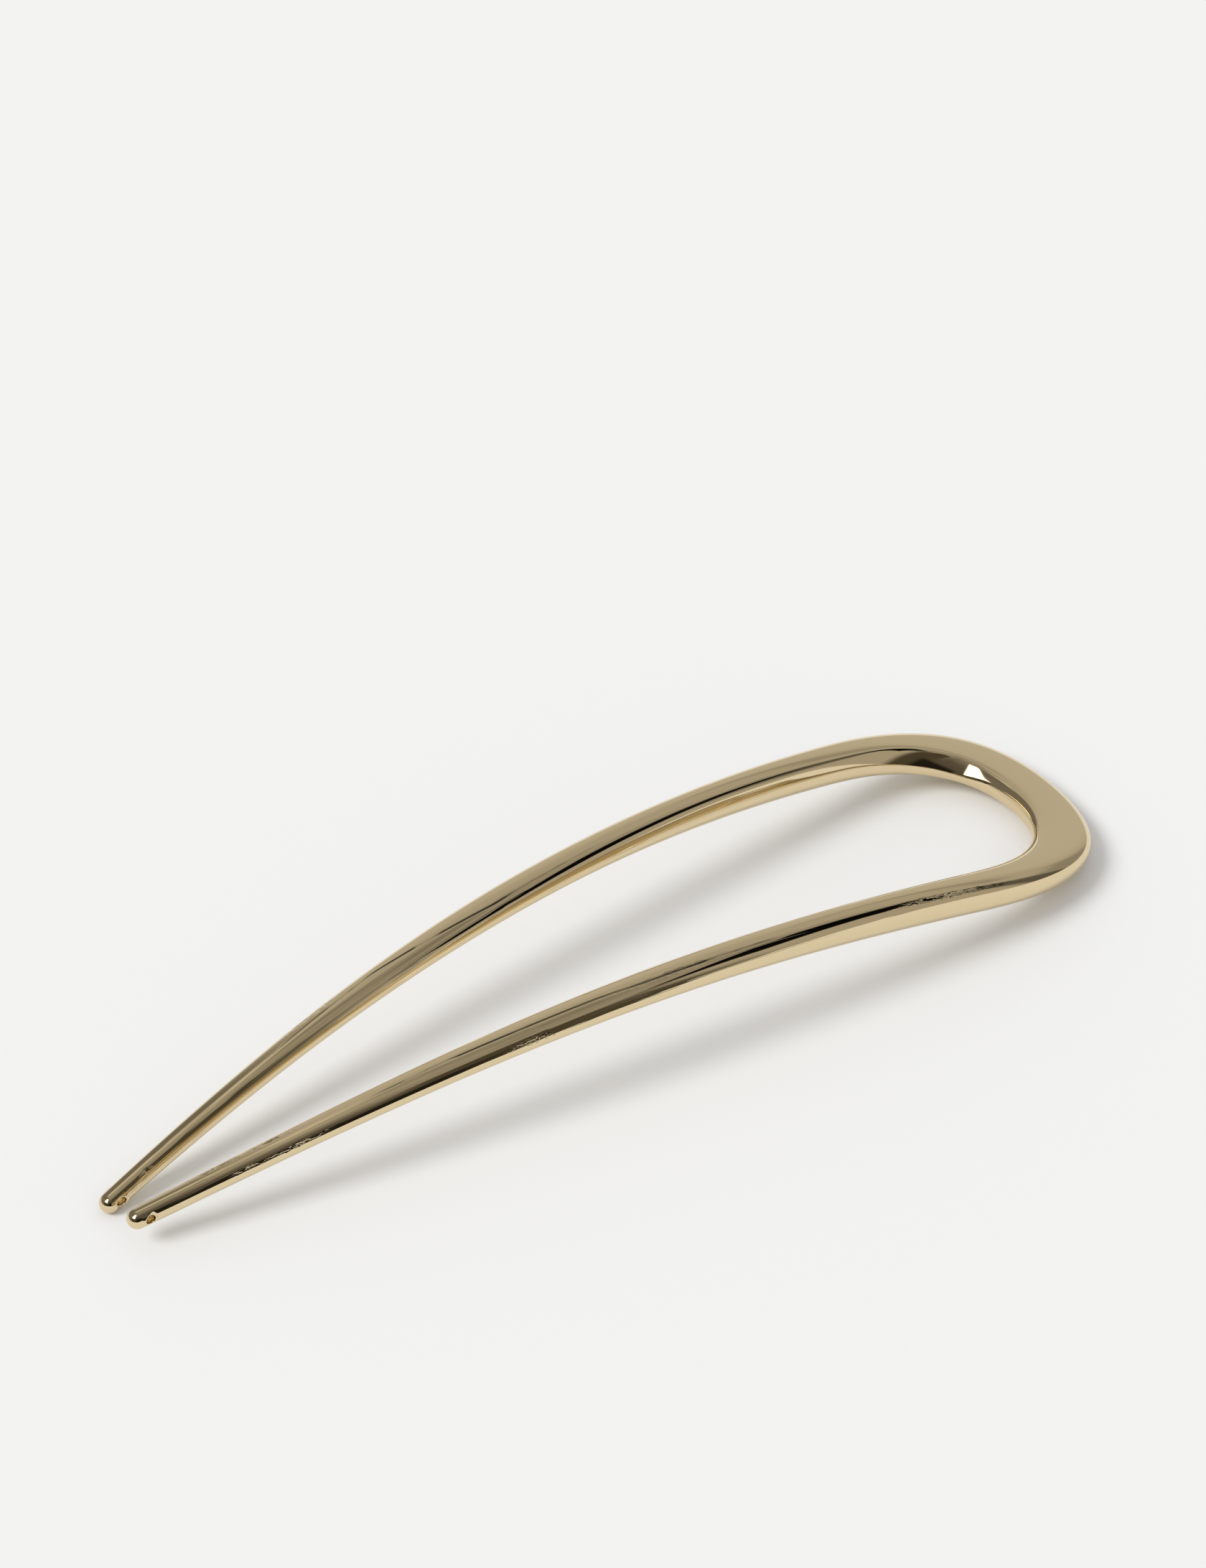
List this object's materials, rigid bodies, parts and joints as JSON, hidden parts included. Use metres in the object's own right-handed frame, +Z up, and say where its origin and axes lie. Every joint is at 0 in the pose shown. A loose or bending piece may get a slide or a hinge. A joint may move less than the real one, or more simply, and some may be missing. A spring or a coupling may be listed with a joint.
{
  "type": "hairpin",
  "caption": "Arched U-shaped cast hairpin with a broad flat-topped crown and long tapering prongs whose round tips are cross-drilled; slides into a bun to hold it.",
  "frame": {"origin": "middle of the pin's footprint, on the table it lies on, resting on the crown's edge and the left tip", "axes": "+X from the tips to the crown, +Y to the left prong, +Z up, through the top of the arch"},
  "size_m": [0.13, 0.0328, 0.0139],
  "materials": {
    "gold_plate": "polished and flash plated in pale gold over a zinc-alloy die casting"
  },
  "bodies": {
    "root": {"crown": "gold_plate", "left_shoulder": "gold_plate", "right_shoulder": "gold_plate", "left_prong": "gold_plate", "right_prong": "gold_plate", "left_tip": "gold_plate", "right_tip": "gold_plate"}
  },
  "joints": []
}
